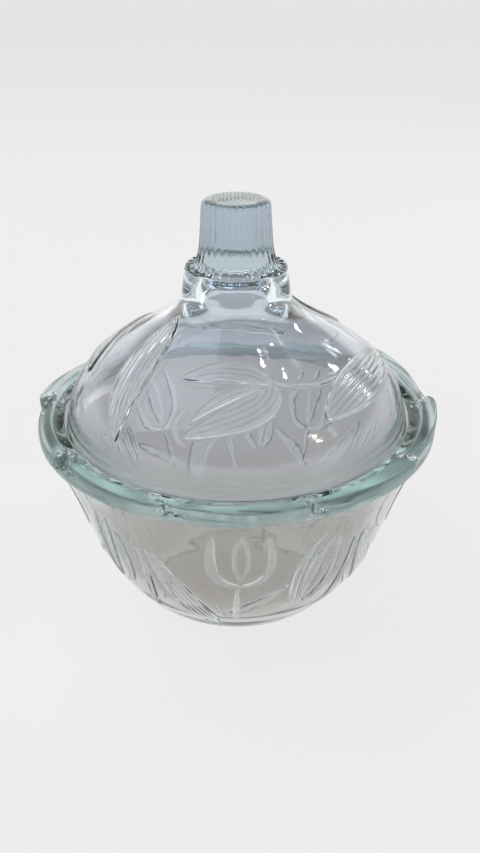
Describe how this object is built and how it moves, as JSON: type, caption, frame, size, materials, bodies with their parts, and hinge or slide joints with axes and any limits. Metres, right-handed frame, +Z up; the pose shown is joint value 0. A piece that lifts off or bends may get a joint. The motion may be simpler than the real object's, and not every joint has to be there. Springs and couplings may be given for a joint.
{
  "type": "covered candy dish",
  "caption": "Round pressed-glass candy dish with a flaring bowl, a rim of overlapping petals and a domed lift-off lid with a fluted knob.",
  "frame": {"origin": "middle of the base, on the plane that the dish stands on", "axes": "+Z up along the axis of the bowl, lid and knob; -Y towards the front of the dish"},
  "size_m": [0.1598, 0.1576, 0.161],
  "materials": {
    "bowl_glass": "clear pressed glass, faint aqua tint in the thick rim",
    "lid_glass": "clear pressed glass, fire-polished"
  },
  "bodies": {
    "bowl_body": {"bowl": "bowl_glass"},
    "lid_body": {"lid": "lid_glass"}
  },
  "joints": [
    {"name": "lid_lift", "type": "slide", "parent": "bowl_body", "child": "lid_body", "axis": [0, 0, 1], "range_m": [0, 0.11]}
  ]
}
